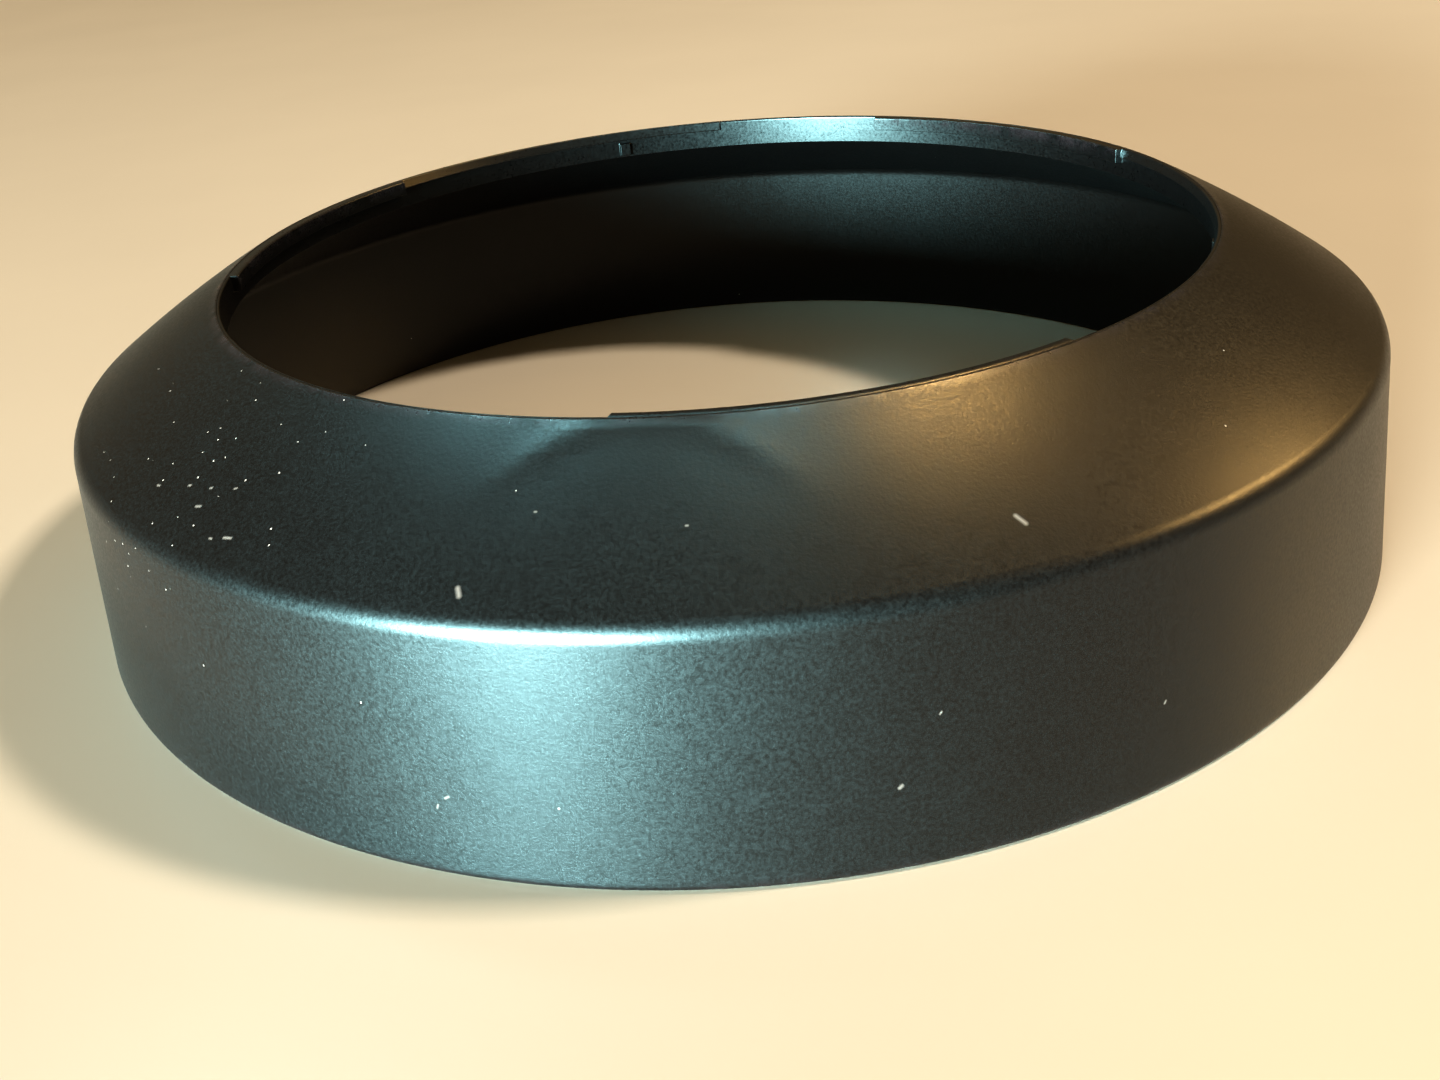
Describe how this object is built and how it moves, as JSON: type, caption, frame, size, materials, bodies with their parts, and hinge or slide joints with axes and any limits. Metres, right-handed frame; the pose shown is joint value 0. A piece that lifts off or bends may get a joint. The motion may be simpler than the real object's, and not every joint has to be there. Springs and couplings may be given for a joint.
{
  "type": "lens hood",
  "caption": "Short round lens hood: a wide side turns over a rounded shoulder into a shallow cone, with an inner bayonet ring that twists onto a camera lens.",
  "frame": {"origin": "centre of the front rim, in the plane that the hood rests on when it stands on its wide end", "axes": "+Z along the optical axis towards the lens; +X and +Y across, with the first bayonet lug starting 19.5 degrees round from +X"},
  "size_m": [0.0878, 0.0878, 0.02],
  "materials": {
    "shell_plastic": "black, fine spark-eroded mould texture, satin sheen at a low angle",
    "ring_plastic": "black, fine mould texture, slightly smoother than the shell"
  },
  "bodies": {
    "root": {"hood_shell": "shell_plastic", "bayonet_ring": "ring_plastic"}
  },
  "joints": []
}
